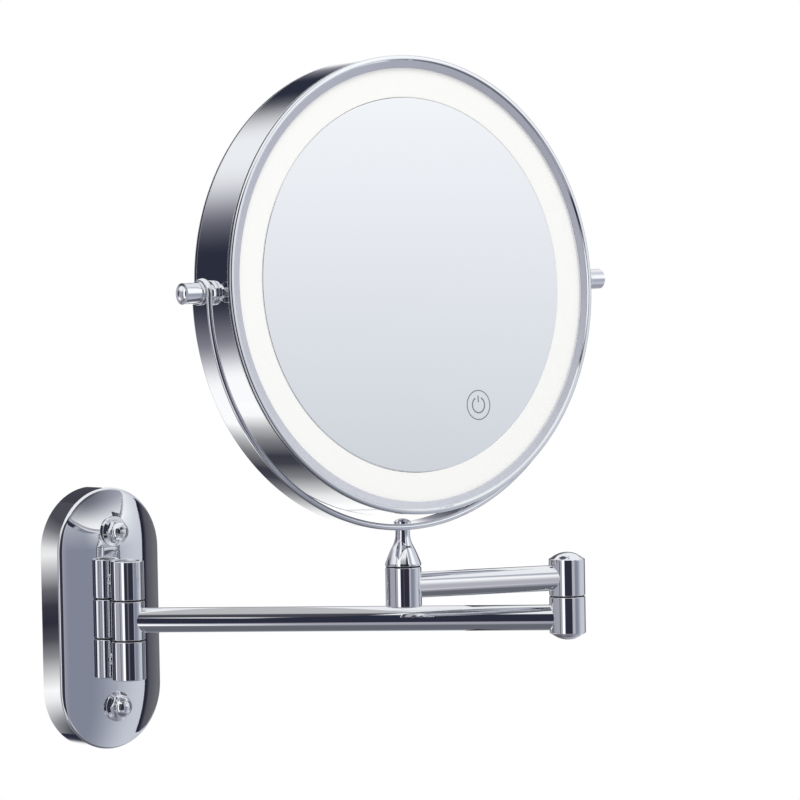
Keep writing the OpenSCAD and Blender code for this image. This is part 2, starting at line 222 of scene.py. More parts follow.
# ---- node helpers ----
class Nodes:
    """Short ways to add linked nodes to one tree."""

    def __init__(self, tree):
        self.tree = tree

    def add(self, kind, inputs=(), **settings):
        made = self.tree.nodes.new("ShaderNode" + kind)
        for key, value in settings.items():
            setattr(made, key, value)
        for key, value in dict(inputs).items():
            if isinstance(value, bpy.types.NodeSocket):
                self.tree.links.new(value, made.inputs[key])
            else:
                made.inputs[key].default_value = value
        return made

    def math(self, operation, *values):
        made = self.add("Math", operation=operation)
        for socket, value in zip(made.inputs, values):
            if isinstance(value, bpy.types.NodeSocket):
                self.tree.links.new(value, socket)
            else:
                socket.default_value = value
        return made.outputs[0]

    def mapped(self, value, from_min, from_max, to_min=0.0, to_max=1.0, smooth=True):
        made = self.add("MapRange", {"Value": value, "From Min": from_min, "From Max": from_max,
                                     "To Min": to_min, "To Max": to_max},
                        interpolation_type="SMOOTHSTEP" if smooth else "LINEAR")
        return made.outputs["Result"]

    def mix(self, factor, a, b):
        made = self.add("Mix", data_type="RGBA")
        for socket, value in ((made.inputs[0], factor), (made.inputs[6], a), (made.inputs[7], b)):
            if isinstance(value, bpy.types.NodeSocket):
                self.tree.links.new(value, socket)
            else:
                socket.default_value = value
        return made.outputs[2]


def cleared(owner):
    """The Nodes of a material or world, with nothing in them yet."""
    owner.use_nodes = True
    owner.node_tree.nodes.clear()
    return Nodes(owner.node_tree)


def material(name, **settings):
    """A material with a Principled shader, the material's Nodes and the shader."""
    made = bpy.data.materials.new(name)
    nodes = cleared(made)
    shader = nodes.add("BsdfPrincipled", settings)
    nodes.add("OutputMaterial", {0: shader.outputs[0]})
    return made, nodes, shader


def grain(nodes, scale, stretch=(1, 1, 1)):
    """Noise in the row frame, in 1/metre, stretched along an axis for brushed metal."""
    place = nodes.add("TexCoord").outputs["Object"]
    mapping = nodes.add("Mapping", {"Vector": place, "Scale": stretch})
    noise = nodes.add("TexNoise", {"Vector": mapping.outputs[0], "Scale": scale, "Detail": 2.0})
    return noise.outputs["Fac"]


def surface(name, color, roughness, metallic=0.0, scale=400.0, spread=0.03, shade=0.04, bump=0.05,
            stretch=(1, 1, 1)):
    """A material whose colour, roughness and bump vary gently with a noise grain."""
    made, nodes, shader = material(name, Metallic=metallic)
    noise = grain(nodes, scale, stretch=stretch)
    slow = grain(nodes, scale / 12)
    low, high = 0.3, 0.7      # where most of the noise lies
    rough = nodes.mapped(noise, low, high, max(0.0, roughness - spread), roughness + spread, smooth=False)
    tint = nodes.mix(nodes.mapped(slow, low, high), (*color, 1), (*[c * (1 - shade) for c in color], 1))
    nodes.tree.links.new(rough, shader.inputs["Roughness"])
    nodes.tree.links.new(tint, shader.inputs["Base Color"])
    if bump:
        relief = nodes.add("Bump", {"Height": noise, "Strength": bump, "Distance": 0.0002})
        nodes.tree.links.new(relief.outputs[0], shader.inputs["Normal"])
    return made


MATERIALS = {
    "chrome": surface("chrome", (0.86, 0.87, 0.89), 0.03, 1.0, scale=160, spread=0.012, shade=0.015, bump=0),
    "satin": surface("satin_chrome", (0.77, 0.77, 0.81), 0.38, 1.0, scale=900, spread=0.04, shade=0.03),
    "steel": surface("steel", (0.62, 0.63, 0.65), 0.3, 1.0, scale=500, spread=0.09, shade=0.12,
                     bump=0.2, stretch=(1, 1, 0.05)),
    "nylon": surface("nylon", (0.025, 0.025, 0.032), 0.45, scale=900),
    "mirror": surface("mirror", (0.955, 0.965, 0.975), 0.004, 1.0, scale=60, spread=0.003, shade=0.006,
                      bump=0),
    "etched": surface("etched", (0.26, 0.28, 0.34), 0.45, scale=1500, spread=0.1),
    "board": surface("board", (0.02, 0.15, 0.05), 0.25, scale=700),
    "led": surface("led", (0.95, 0.85, 0.5), 0.3, scale=900),
    "inner_plastic": surface("inner_plastic", (0.85, 0.85, 0.83), 0.5, scale=900),
    "black_plastic": surface("black_plastic", (0.012, 0.012, 0.014), 0.45, scale=900, bump=0.15),
    "cell": surface("cell", (0.03, 0.045, 0.07), 0.25, scale=300),
    "wire": surface("wire", (0.32, 0.01, 0.008), 0.4, scale=900),
    "brass": surface("brass", (0.57, 0.35, 0.1), 0.25, 1.0, scale=400, spread=0.08, shade=0.1),
}


def diffuser():
    """Opal acrylic lit from behind, a little dimmer and warmer towards its two edges."""
    made, nodes, shader = material("diffuser", Roughness=0.35)
    tint = nodes.mix(grain(nodes, 900), (0.82, 0.818, 0.805, 1), (0.85, 0.848, 0.838, 1))
    nodes.tree.links.new(tint, shader.inputs["Base Color"])
    middle = AT_HEAD @ Vector((0, 0, GLASS_FRONT * MM))
    place = nodes.add("TexCoord").outputs["Object"]
    reach = nodes.add("VectorMath", {0: place, 1: middle}, operation="DISTANCE").outputs["Value"]
    band_middle, band_half = (GLASS_R + RIM_INNER_R) / 2 * MM, (RIM_INNER_R - GLASS_R) / 2 * MM
    off_middle = nodes.math("ABSOLUTE", nodes.math("SUBTRACT", reach, band_middle))
    edge = nodes.mapped(off_middle, band_half * 0.6, band_half * 1.05)
    glow = nodes.mix(edge, (0.97, 0.972, 0.96, 1), (0.93, 0.925, 0.90, 1))
    nodes.tree.links.new(glow, shader.inputs["Emission Color"])
    shader.inputs["Emission Strength"].default_value = 0.30
    return made


MATERIALS["diffuser"] = diffuser()

for part in frame["record"]["subparts"]:
    carried = frame["nodes"][part["node"]]
    carried.data.materials.clear()
    carried.data.materials.append(MATERIALS[part["material_slot"]])


# ---- wall plate ----
def crown_profile(half_w, rim, crown, edge, steps=14):
    """From the centre of the crowned face out over its rounded edge and back to the wall, as (r, out)."""
    curve_r = (half_w ** 2 + crown ** 2) / (2 * crown)
    points = []
    for i in range(steps + 1):
        a = math.asin(half_w / curve_r) * i / steps
        points.append((curve_r * math.sin(a), curve_r * math.cos(a) - curve_r + crown + rim))
    points[-1] = (half_w, rim, edge)
    return rounded(points + [(half_w, 0)], steps=6)


def stadium_loop(r, out, straight, steps=40):
    """Loop of points at distance r from the plate's centre line, standing out from the wall."""
    loop = []
    for side in (1, -1):
        for i in range(steps + 1):
            a = math.pi * i / steps + (0 if side == 1 else math.pi)
            loop.append((r * math.cos(a), -out, side * straight / 2 + r * math.sin(a)))
    return loop


def wall_cover():
    """Crowned shell, drawn in loops from the middle of its face, round its edge and back inside."""
    outer = crown_profile(PLATE_W / 2, PLATE_RIM, PLATE_CROWN, COVER_EDGE)
    inner = crown_profile(PLATE_W / 2 - COVER_T, PLATE_RIM - COVER_T, PLATE_CROWN, COVER_INNER_EDGE)
    least = 0.02      # the first and last loop are this narrow, and a face closes each
    profile = [(least, outer[0][1]), *outer[1:], *reversed(inner[1:]), (least, inner[0][1])]
    loops = [stadium_loop(max(r, least), out, PLATE_H - PLATE_W) for r, out in profile]
    verts, faces = bridged(loops)
    n = len(loops[0])
    half = n // 2
    for start in (0, len(verts) - n):
        faces.append((start, start + half - 1, start + half, start + n - 1))
    piece("cover_shell", (verts, faces), Matrix.Identity(4), "wall_mount", "chrome", ["wall_cover"],
          sharp=40)


def hexagon(across, low, high, chamfer=0.45):
    """A hex nut whose corners are turned off by a cone at the top."""
    corner, steps = across / 2 / math.cos(math.pi / 6), 24 * 6
    levels = [(low, corner), (high - chamfer * 1.3, corner), (high - chamfer * 0.6, corner - chamfer * 0.55),
              (high, across / 2 - 0.05)]
    loops = []
    for z, limit in levels:
        loop = []
        for i in range(steps):
            a = math.tau * i / steps
            flat = across / 2 / math.cos((a % (math.pi / 3)) - math.pi / 6)
            loop.append((min(flat, limit) * math.cos(a), min(flat, limit) * math.sin(a), z))
        loops.append(loop)
    return bridged(loops, cap_ends=True)


def cap_nuts():
    """Two acorn nuts: a flange on the cover, a hexagon and an oval cap."""
    flange_r, slope_r, slope_h, across, hex_h, cap_r, cap_h = 7.2, 5.6, 0.95, 10, 3.6, 4.7, 3.4
    flange_top = PLATE_RIM + PLATE_CROWN + 0.5
    slope_top, hex_top = flange_top + slope_h, flange_top + hex_h
    flange = lathe(rounded([(0, PLATE_RIM), (flange_r, PLATE_RIM), (flange_r, flange_top, 0.3),
                            (slope_r, slope_top, 0.4), (0, slope_top)]), 72)
    quarter = [math.pi / 2 * i / 14 for i in range(15)]
    cap = lathe([(cap_r, hex_top - 0.3), (cap_r, hex_top)]
                + [(cap_r * math.cos(a), hex_top + cap_h * math.sin(a)) for a in quarter], 72)
    one = joined(flange, hexagon(across, flange_top, hex_top), cap)
    parts = [(*one, moved(0, 0, side * NUT_RISE) @ OUT_OF_WALL) for side in (1, -1)]
    piece("acorn_nuts", joined(*parts), Matrix.Identity(4), "wall_mount", "chrome", ["cap_nuts"], sharp=28)


def barrel(radius, low, high, edge=0.5, bore=0.0, segments=96):
    """Turned barrel with softened edges, bored for its pin."""
    return lathe(rounded([(bore, low), (radius, low, edge), (radius, high, edge), (bore, high)]), segments,
                 closed=bore > 0)


def stem(from_out, to_out):
    """Round stem through the cover, standing out from the wall."""
    profile = rounded([(0, from_out), (STEM_R, from_out, 0.3), (STEM_R, to_out), (0, to_out)])
    return (*lathe(profile, 72), OUT_OF_WALL)


def wall_hinge():
    """The two fixed barrels on their stems, and the pin through all three barrels."""
    thread_r, thread_end, stem_end = 3, 6, HINGE_OFF - 4.5
    thread = (*lathe([(0, thread_end), (thread_r, thread_end + 0.4), (thread_r, BACKING_FRONT),
                      (0, BACKING_FRONT)], 48), OUT_OF_WALL)
    body = (*barrel(WALL_KNUCKLE_R, -KNUCKLE_H / 2, KNUCKLE_H / 2, bore=PIN_R), moved(0, -HINGE_OFF, 0))
    knuckle = joined(body, stem(BACKING_FRONT, stem_end), thread)
    for name, side in (("upper_knuckle", 1), ("lower_knuckle", -1)):
        piece(name + "_turned", knuckle, moved(0, 0, side * WALL_PITCH), "wall_mount", "chrome", [name])
    stack = 1.5 * WALL_PITCH - JOIN_GAP
    half = [(PIN_R, 0), (PIN_R, stack - 0.02), (PIN_HEAD_R, stack, 0.12)]
    top = rounded(half + dome_points(PIN_HEAD_R, stack, PIN_HEAD_H)[1:])
    profile = [(r, -z) for r, z in reversed(top)] + top[1:]
    piece("hinge_pin_turned", lathe(profile, 96), AT_WALL, "wall_mount", "chrome", ["hinge_pin"])


# ---- arms ----
def tube(start, end):
    """Hollow tube along X with lightly broken edges."""
    inside = TUBE_R - TUBE_T
    profile = rounded([(inside, start), (TUBE_R, start, 0.2), (TUBE_R, end, 0.2), (inside, end)],
                      closed=True)
    return (*lathe(profile, 96, closed=True), LYING)


def domed_barrel(radius, join, height, dome_h, bore_depth, upward):
    """Elbow barrel: a flat face with a bore at the join, a dome at the other end."""
    far, dome_r = join + height, radius - 0.45
    profile = [(BORE_R, join), (radius, join, 0.35), (radius, far, 0.6)]
    profile += dome_points(dome_r, far, dome_h)[1:]
    whole = rounded(profile) + [(0, join + bore_depth), (BORE_R, join + bore_depth)]
    return lathe([(r, z if upward else 2 * join - z) for r, z in whole], 96, closed=True)


def arms():
    """Both tubes with the barrels at their ends, up to the base that the yoke turns in."""
    piece("arm_knuckle_turned", barrel(WALL_KNUCKLE_R, -KNUCKLE_H / 2, KNUCKLE_H / 2, bore=BORE_R), AT_WALL,
          "lower_arm", "chrome", ["arm_knuckle"])
    piece("lower_tube_drawn", joined(tube(WALL_KNUCKLE_R - SOCKET, LOWER_LEN - KNUCKLE_R + SOCKET)),
          AT_LOWER_ARM, "lower_arm", "chrome", ["lower_tube"])
    bore_depth, clip_r, clip_h = 14, 6.5, 3
    low = domed_barrel(KNUCKLE_R, ELBOW_JOIN - JOIN_GAP, ELBOW_H - JOIN_GAP, ELBOW_DOME, bore_depth, False)
    piece("elbow_lower_turned", low, joint_at("elbow_swing"), "lower_arm", "chrome", ["elbow_lower_knuckle"])
    high = domed_barrel(KNUCKLE_R, ELBOW_JOIN + JOIN_GAP, ELBOW_H - JOIN_GAP, ELBOW_DOME, bore_depth, True)
    piece("elbow_upper_turned", high, AT_ELBOW, "upper_arm", "chrome", ["elbow_upper_knuckle"])
    level = AT_ELBOW @ moved(0, 0, UPPER_Z)
    piece("upper_tube_drawn", joined(tube(KNUCKLE_R - SOCKET, UPPER_LEN - KNUCKLE_R + SOCKET)), level,
          "upper_arm", "chrome", ["upper_tube"])
    base = rounded([(BORE_R, BASE_LOW + clip_h), (clip_r, BASE_LOW + clip_h), (clip_r, BASE_LOW, 0.15),
                    (KNUCKLE_R, BASE_LOW, 0.7), (KNUCKLE_R, BASE_HIGH, 0.35), (BORE_R, BASE_HIGH)],
                   closed=True)
    piece("yoke_base_turned", lathe(base, 96, closed=True), AT_STAND, "upper_arm", "chrome", ["yoke_base"])


# ---- yoke ----
def neck():
    """Bottle-shaped neck on a short straight foot, with the spigot that turns in the base."""
    spigot_r, spigot_end, bevel, foot_h = PIN_R, BASE_LOW + 1, 0.3, 1.0
    foot_top = NECK_LOW + foot_h
    profile = [(0, spigot_end), (spigot_r - bevel, spigot_end), (spigot_r, spigot_end + bevel),
               (spigot_r, NECK_LOW)]
    profile += rounded([(spigot_r, NECK_LOW), (KNUCKLE_R, NECK_LOW, 0.3), (KNUCKLE_R, foot_top)])[1:]
    profile += [(r, foot_top + (NECK_HIGH - foot_top) * share) for r, share in smooth_curve(NECK_SHAPE)[1:]]
    profile.append((0, NECK_HIGH))
    piece("neck_turned", lathe(profile, 96), AT_STAND, "yoke", "chrome", ["yoke_neck"])


def yoke_outline(inset, steps=150, tip_steps=16):
    """Half outline of the unrolled yoke strip, from one round eye to the other: (along, half width)."""
    eye, strip = EYE_R - inset, YOKE_W / 2 - inset
    neck_angle = math.pi - math.asin(strip / eye)
    length = math.pi * YOKE_R
    end = [(-eye * math.cos(neck_angle * i / tip_steps), eye * math.sin(neck_angle * i / tip_steps))
           for i in range(tip_steps + 1)]
    first = end[-1][0]
    middle = [(first + (length - 2 * first) * i / steps, strip) for i in range(1, steps)]
    return end + middle + [(length - s, w) for s, w in reversed(end)]


def yoke_ring():
    """Half ring with round eyes and softly rounded edges."""
    soft, steps = 1.4, 6
    levels = [(soft * (1 - math.sin(a)), YOKE_R - soft * (1 - math.cos(a)))
              for a in [math.pi / 2 * i / steps for i in range(steps + 1)]]
    levels += [(inset, 2 * YOKE_R - YOKE_T - radius) for inset, radius in reversed(levels)]
    loops = []
    for inset, radius in levels:
        half = yoke_outline(inset)
        whole = half + [(s, -w) for s, w in reversed(half[1:-1])]
        loops.append([(radius * math.cos(s / YOKE_R), -radius * math.sin(s / YOKE_R), w) for s, w in whole])
    verts, faces = bridged(loops)
    n, half_n = len(loops[0]), len(half)
    for start in (0, len(verts) - n):
        faces.append((start, start + 1, start + n - 1))
        faces += [(start + i, start + i + 1, start + n - i - 1, start + n - i) for i in range(1, half_n - 2)]
        faces.append((start + half_n - 2, start + half_n - 1, start + n - half_n + 2))
    bent = piece("yoke_bent", (verts, faces), AT_YOKE, "yoke", "chrome", ["yoke_ring"], sharp=40)
    bent.visible_glossy = False     # not physical: the photo's drum doesn't show the yoke


def yoke_screw():
    """Button-headed screw down through the middle of the yoke into its neck."""
    seat, tip = YOKE_T - YOKE_R, -YOKE_R - 5
    head_r, head_low, head_edge, head_h = 4, seat + 0.1, seat + 0.8, 1.5
    head = rounded([(0, head_low), (head_r, head_low), (head_r, head_edge, 0.2)])
    head += dome_points(head_r - 0.2, head_edge, head_h)[1:]
    shank = [(0, tip), (SCREW_R, tip + 0.4), (SCREW_R, head_low), (0, head_low)]
    turn = turned(-90, "X")
    piece("yoke_screw_turned", joined((*lathe(head, 64), turn), (*lathe(shank, 32), turn)), AT_YOKE, "yoke",
          "chrome", ["yoke_screw"])


# ---- mirror head ----
def rim_profile():
    """Section of a rim: a nearly flat band over the glass, with a narrow bead outside it."""
    top, over_glass, over_band = HALF_D, GLASS_FRONT + 0.05, HALF_D - RIM_DEPTH + 0.05
    bead_foot_r, bead_r, groove_r = HEAD_R - 2.5, HEAD_R - 1.9, HEAD_R - GROOVE_DEPTH
    skirt_r, skirt_inner_r, skirt_end = HEAD_R - BAND_T - 0.1, HEAD_R - 3, HALF_D - 5.5
    return rounded([
        (RIM_INNER_R, over_glass), (RIM_INNER_R, GLASS_FRONT + 1.3, 0.25), (bead_foot_r, top - 0.7, 0.25),
        (bead_r, top, 0.4), (HEAD_R, top, 0.85), (HEAD_R, top - SEAM_HIGH, 0.1),
        (groove_r, top - SEAM_HIGH), (groove_r, top - SEAM_LOW), (HEAD_R, top - SEAM_LOW, 0.1),
        (HEAD_R, over_band, 0.08), (skirt_r, over_band),
        (skirt_r, skirt_end), (skirt_inner_r, skirt_end), (skirt_inner_r, over_glass)], closed=True)


def satin_band(rim):
    """The flat inner band of a rim has a satin finish; its bead is polished."""
    rim.data.materials.append(MATERIALS["satin"])
    to_head = AT_HEAD.inverted()
    for face in rim.data.polygons:
        place = to_head @ face.center
        if math.hypot(place.x, place.y) < SATIN_R * MM:
            face.material_index = 1


def head_shell():
    """The drum's band, a rim on each side of it and the dark line behind each rim's bead: a dark ring in the
    groove, painted shade of that groove.
    """
    edge, inside = HALF_D - RIM_DEPTH, HEAD_R - BAND_T
    band = rounded([(inside, -edge), (HEAD_R, -edge, 0.08), (HEAD_R, edge, 0.08), (inside, edge)],
                   closed=True)
    piece("drum_spun", lathe(band, 360, closed=True), AT_HEAD, "head", "chrome", ["drum_band"])
    rim = lathe(rim_profile(), 360, closed=True)
    for name, at in (("front_rim", AT_HEAD), ("rear_rim", AT_HEAD @ turned(180, "X"))):
        satin_band(piece(name + "_spun", rim, at, "head", "chrome", [name], sharp=50))
    # a dark ring in each groove behind the bead: painted shade of the groove
    gap = 0.02
    low, high = HALF_D - SEAM_LOW + gap, HALF_D - SEAM_HIGH - gap
    inner, outer = HEAD_R - GROOVE_DEPTH + gap, HEAD_R - 0.2
    seam = lathe([(inner, low), (outer, low), (outer, high), (inner, high)], 256, closed=True)
    piece("rim_groove_shade", joined(seam, (*seam, turned(180, "X"))), AT_HEAD, "head", "nylon")


def glasses():
    """The plain mirror, the dished one on the back and the ring of opal light."""
    plain = rounded([(0, GLASS_BACK), (GLASS_R, GLASS_BACK, 0.2), (GLASS_R, GLASS_FRONT, 0.35),
                     (0, GLASS_FRONT)])
    piece("front_glass", lathe(plain, 256), AT_HEAD, "head", "mirror", ["front_mirror"])
    steps, thick = 40, 2
    dish = GLASS_EDGE_R ** 2 / (2 * MAGNIFIER_RADIUS)
    radii = [GLASS_EDGE_R * i / steps for i in range(steps + 1)]
    hollow = [(r, GLASS_FRONT - dish + r ** 2 / (2 * MAGNIFIER_RADIUS)) for r in radii]
    dished = hollow + [(r, z - thick) for r, z in reversed(hollow)]
    piece("magnifying_glass", lathe(dished, 256), AT_HEAD @ turned(180, "X"), "head", "mirror",
          ["magnifying_mirror"])
    inner, outer, low = GLASS_R + 0.25, GLASS_EDGE_R, GLASS_FRONT - 2.2
    ring = rounded([(inner, low), (inner, GLASS_FRONT, 0.3), (outer, GLASS_FRONT, 0.1), (outer, low)],
                   closed=True)
    piece("glow_ring", lathe(ring, 256, closed=True), AT_HEAD, "head", "diffuser", ["light_ring"])


def ribbon(points, width, closed=False):
    """Flat line of an etched mark, on z = 0."""
    left, right = [], []
    for i, point in enumerate(points):
        last = points[i - 1] if closed or i else point
        following = points[(i + 1) % len(points)] if closed or i < len(points) - 1 else point
        along = (Vector(following) - Vector(last)).normalized() * width / 2
        left.append((point[0] - along.y, point[1] + along.x, 0))
        right.append((point[0] + along.y, point[1] - along.x, 0))
    n = len(points)
    faces = [(i, (i + 1) % n, n + (i + 1) % n, n + i) for i in range(n if closed else n - 1)]
    return left + right, faces


def arc(radius, start, end, steps):
    return [(radius * math.cos(math.radians(start + (end - start) * i / steps)),
             radius * math.sin(math.radians(start + (end - start) * i / steps))) for i in range(steps + 1)]


def touch_mark():
    """Thin circle with the usual power sign, etched into the mirror coating."""
    circle = ribbon(arc(ICON_R, 0, 360, 96)[:-1], 0.5, closed=True)
    sign_r, top, half_gap = 3.6, 90, 28
    sign = ribbon(arc(sign_r, top + half_gap, top + 360 - half_gap, 60), 0.65)
    bar = ribbon([(0, 4.4), (0, 2.9), (0, 1.2)], 0.6)
    lifted = moved(*ICON_AT, GLASS_FRONT + 0.03)
    piece("touch_mark", joined(circle, sign, bar), AT_HEAD @ lifted, "head", "etched", flat=True)


def pivots():
    """Collars, washers and domed knobs on both ends of the pivot axis."""
    flange_r, collar_r, flange_start, collar_end = 5.6, 4.2, HEAD_R + 0.05, YOKE_R - YOKE_T - 0.3
    spacer = rounded([(SCREW_R, flange_start), (flange_r, flange_start, 0.3), (flange_r, HEAD_R + 1.7, 0.5),
                      (collar_r, HEAD_R + 2.0), (collar_r, collar_end), (SCREW_R, collar_end)], closed=True)
    washer_r, washer_start, washer_end = KNOB_R + 0.6, YOKE_R + 0.3, YOKE_R + 1.3
    washer = rounded([(SCREW_R, washer_start), (washer_r, washer_start, 0.2), (washer_r, washer_end, 0.2),
                      (SCREW_R, washer_end)], closed=True)
    dome_h, dome_edge, shorter = 2, 1.0, 1.0    # the knob is this much shorter than its CAD solid
    shoulder = KNOB_START + KNOB_L - shorter - dome_h
    knob = rounded([(SCREW_R, KNOB_START), (KNOB_R, KNOB_START, 0.3), (KNOB_R, shoulder, dome_edge)],
                   steps=8)
    knob += dome_points(KNOB_R - dome_edge, shoulder, dome_h, 12)[1:]
    turns = (LYING, turned(180, "Y") @ LYING)
    rings = [("collars", spacer, "pivot_spacers"), ("outer_washers", washer, "pivot_washers")]
    for name, profile, node in rings:
        piece(name, joined(*[(*lathe(profile, 64, closed=True), turn) for turn in turns]), AT_HEAD, "head",
              "chrome", [node])
    for name, turn in (("right_knob", turns[0]), ("left_knob", turns[1])):
        piece(name + "_turned", joined((*lathe(knob, 72), turn)), AT_HEAD, "head", "chrome", [name])


wall_cover()
cap_nuts()
wall_hinge()
arms()
neck()
yoke_ring()
yoke_screw()
head_shell()
glasses()
touch_mark()
pivots()


# ---- studio ----
def patch(nodes, direction, azimuth, elevation, half_az, half_el, soft_az, soft_el):
    """How much a soft-edged patch of the surroundings covers a direction. Angles are in degrees."""
    a, e = math.radians(azimuth), math.radians(elevation)
    forward = Vector((math.sin(a) * math.cos(e), -math.cos(a) * math.cos(e), math.sin(e)))
    right = Vector((math.cos(a), math.sin(a), 0))
    up = right.cross(forward)
    parts = [nodes.add("VectorMath", {0: direction, 1: axis}, operation="DOT_PRODUCT").outputs["Value"]
             for axis in (right, forward, up)]
    across = nodes.math("ABSOLUTE", nodes.math("ARCTAN2", parts[0], parts[1]))
    along = nodes.math("ABSOLUTE", nodes.math("ARCSINE", parts[2]))
    outside = [between(nodes, angle, half - soft, half + soft)
               for angle, half, soft in ((across, half_az, soft_az), (along, half_el, soft_el))]
    inside = [nodes.math("SUBTRACT", 1.0, part) for part in outside]
    return nodes.math("MULTIPLY", *inside)


def between(nodes, angle, low, high, smooth=True):
    """0 below one angle in degrees, rising to 1 above another."""
    return nodes.mapped(angle, math.radians(low), math.radians(high), smooth=smooth)


def studio():
    """Surroundings: white to the camera, grey to matt surfaces, light and dark patches to polished ones."""
    world = bpy.data.worlds.new("studio")
    bpy.context.scene.world = world
    nodes = cleared(world)
    direction = nodes.add("TexCoord").outputs["Generated"]
    x, y, z = nodes.add("SeparateXYZ", {0: direction}).outputs
    height = nodes.math("ARCSINE", z)
    around = nodes.math("ARCTAN2", x, nodes.math("MULTIPLY", y, -1.0))
    shade = nodes.mix(between(nodes, height, -62, -44), (0.15, 0.155, 0.18, 1), (0.40, 0.395, 0.46, 1))
    shade = nodes.mix(between(nodes, height, 17, 32), shade, (0.95, 0.96, 0.98, 1))
    low_glow = nodes.mix(between(nodes, around, 20, 56), (0.25, 0.27, 0.34, 1), (0.62, 0.65, 0.72, 1))
    high_glow = nodes.mix(between(nodes, around, 39, 60), (1.1, 1.12, 1.14, 1), (0.68, 0.70, 0.75, 1))
    high_glow = nodes.mix(between(nodes, around, 18, 30), (0.45, 0.47, 0.54, 1), high_glow)
    right_glow = nodes.mix(between(nodes, height, -3.5, 10, smooth=False), low_glow, high_glow)
    front_low = nodes.mix(between(nodes, height, -46, -26), (0.78, 0.78, 0.83, 1), (0.50, 0.495, 0.55, 1))
    front_glow = nodes.mix(between(nodes, height, -8, 30), front_low, (1.1, 1.1, 1.1, 1))
    glows = {"right": right_glow, "front": front_glow}
    for spot in STUDIO_PATCHES:
        shade = nodes.mix(patch(nodes, direction, *spot[:-1]), shade, glows.get(spot[-1], spot[-1]))
    path = nodes.add("LightPath")
    seen = nodes.mix(path.outputs["Is Glossy Ray"], (0.6, 0.6, 0.6, 1), shade)
    seen = nodes.mix(path.outputs["Is Camera Ray"], seen, (1, 1, 1, 1))
    background = nodes.add("Background", {"Color": seen, "Strength": 1.0})
    nodes.add("OutputWorld", {0: background.outputs[0]})


WHITE, NAVY, BLACK = (1.2, 1.2, 1.2, 1), (0.028, 0.031, 0.052, 1), (0.003, 0.003, 0.008, 1)
# (azimuth, elevation, half width, half height, softness across, softness up, colour), in degrees seen from
# the object: azimuth 0 looks straight out from the wall, 90 looks along it to the right. They were chosen
# so that the chrome looks as in the photo.
STUDIO_PATCHES = [
    (142, -10, 17, 21, 5, 5, (1.05, 1.05, 1.05, 1)),
    (154, 25, 14, 10, 9, 8, NAVY),
    (-158, -31, 18, 10, 6, 6, (1.1, 1.1, 1.1, 1)),
    (-149, 3, 13, 18, 9, 12, NAVY),
    (166, -40, 14, 12, 7, 7, NAVY),
    (-92.5, 0, 1.8, 45, 1.2, 1.2, BLACK),
    (-68, 0, 8.5, 48, 1.2, 1.2, WHITE),
    (-36, 4, 24.2, 33, 1.5, 3, NAVY),
    (-35, 4, 4, 30, 3, 3, (0.16, 0.16, 0.2, 1)),
    (-3, 4, 9, 48, 2, 4, "front"),
    (49, 5, 43, 45, 3, 4, "right"),
    (106, 0, 9, 30, 5, 5, (0.1, 0.1, 0.13, 1)),
]


def ramp(nodes, value, stops):
    """Colour that follows stops of (place, brightness), slightly blue where it is dark."""
    low, high = stops[0][0], stops[-1][0]
    made = nodes.add("ValToRGB", {"Fac": nodes.mapped(value, low, high, smooth=False)})
    elements = made.color_ramp.elements
    while len(elements) < len(stops):
        elements.new(0.5)
    for element, (place, light) in zip(elements, stops):
        element.position = (place - low) / (high - low)
        element.color = (light, light * 1.005, light + 0.02 * max(0.0, 1 - light), 1)
    return made.outputs["Color"]


def stage_mesh(name, verts, faces, finish):
    """A mesh of the studio, which isn't part of the object."""
    mesh = bpy.data.meshes.new(name)
    mesh.from_pydata(verts, [], faces)
    mesh.materials.append(finish)
    made = bpy.data.objects.new(name, mesh)
    bpy.context.scene.collection.objects.link(made)
    return made


def distance_along(nodes, axis):
    """How far along a vector a point of the surface lies, in the row frame."""
    place = nodes.add("TexCoord").outputs["Object"]
    return nodes.add("VectorMath", {0: place, 1: Vector(axis)}, operation="DOT_PRODUCT").outputs["Value"]


def card(name, start, across, up, axis, stops, reach=2.0, soft=0.0):
    """Flat card, in metres, that only reflections within reach of it see, and not edge on.

    Its brightness follows stops along axis. Soft is the share of its width and height over which each
    of its edges fades.
    """
    steps, fade_from, fade_to = 12, 0.72, 0.84
    start, across, up = Vector(start), Vector(across), Vector(up)
    verts = [tuple(start + across * i / steps + up * j) for j in (0, 1) for i in range(steps + 1)]
    faces = [(i, i + 1, steps + 2 + i, steps + 1 + i) for i in range(steps)]
    lit = bpy.data.materials.new(name)
    nodes = cleared(lit)
    glow = nodes.add("Emission", {"Color": ramp(nodes, distance_along(nodes, axis), stops)})
    seen = nodes.mapped(nodes.add("LayerWeight").outputs["Facing"], fade_from, fade_to, 1.0, 0.0)
    away = nodes.add("LightPath").outputs["Ray Length"]
    seen = nodes.math("MULTIPLY", seen, nodes.mapped(away, reach * 0.9, reach, 1.0, 0.0))
    for edge in (across, up) if soft else ():
        part = distance_along(nodes, edge / edge.length_squared)
        first = start.dot(edge) / edge.length_squared
        seen = nodes.math("MULTIPLY", seen, nodes.mapped(part, first, first + soft))
        seen = nodes.math("MULTIPLY", seen, nodes.mapped(part, first + 1 - soft, first + 1, 1.0, 0.0))
    faded = nodes.add("MixShader", {0: seen, 1: nodes.add("BsdfTransparent").outputs[0], 2: glow.outputs[0]})
    nodes.add("OutputMaterial", {0: faded.outputs[0]})
    made = stage_mesh(name, verts, faces, lit)
    made.visible_camera = made.visible_diffuse = made.visible_shadow = made.visible_transmission = False


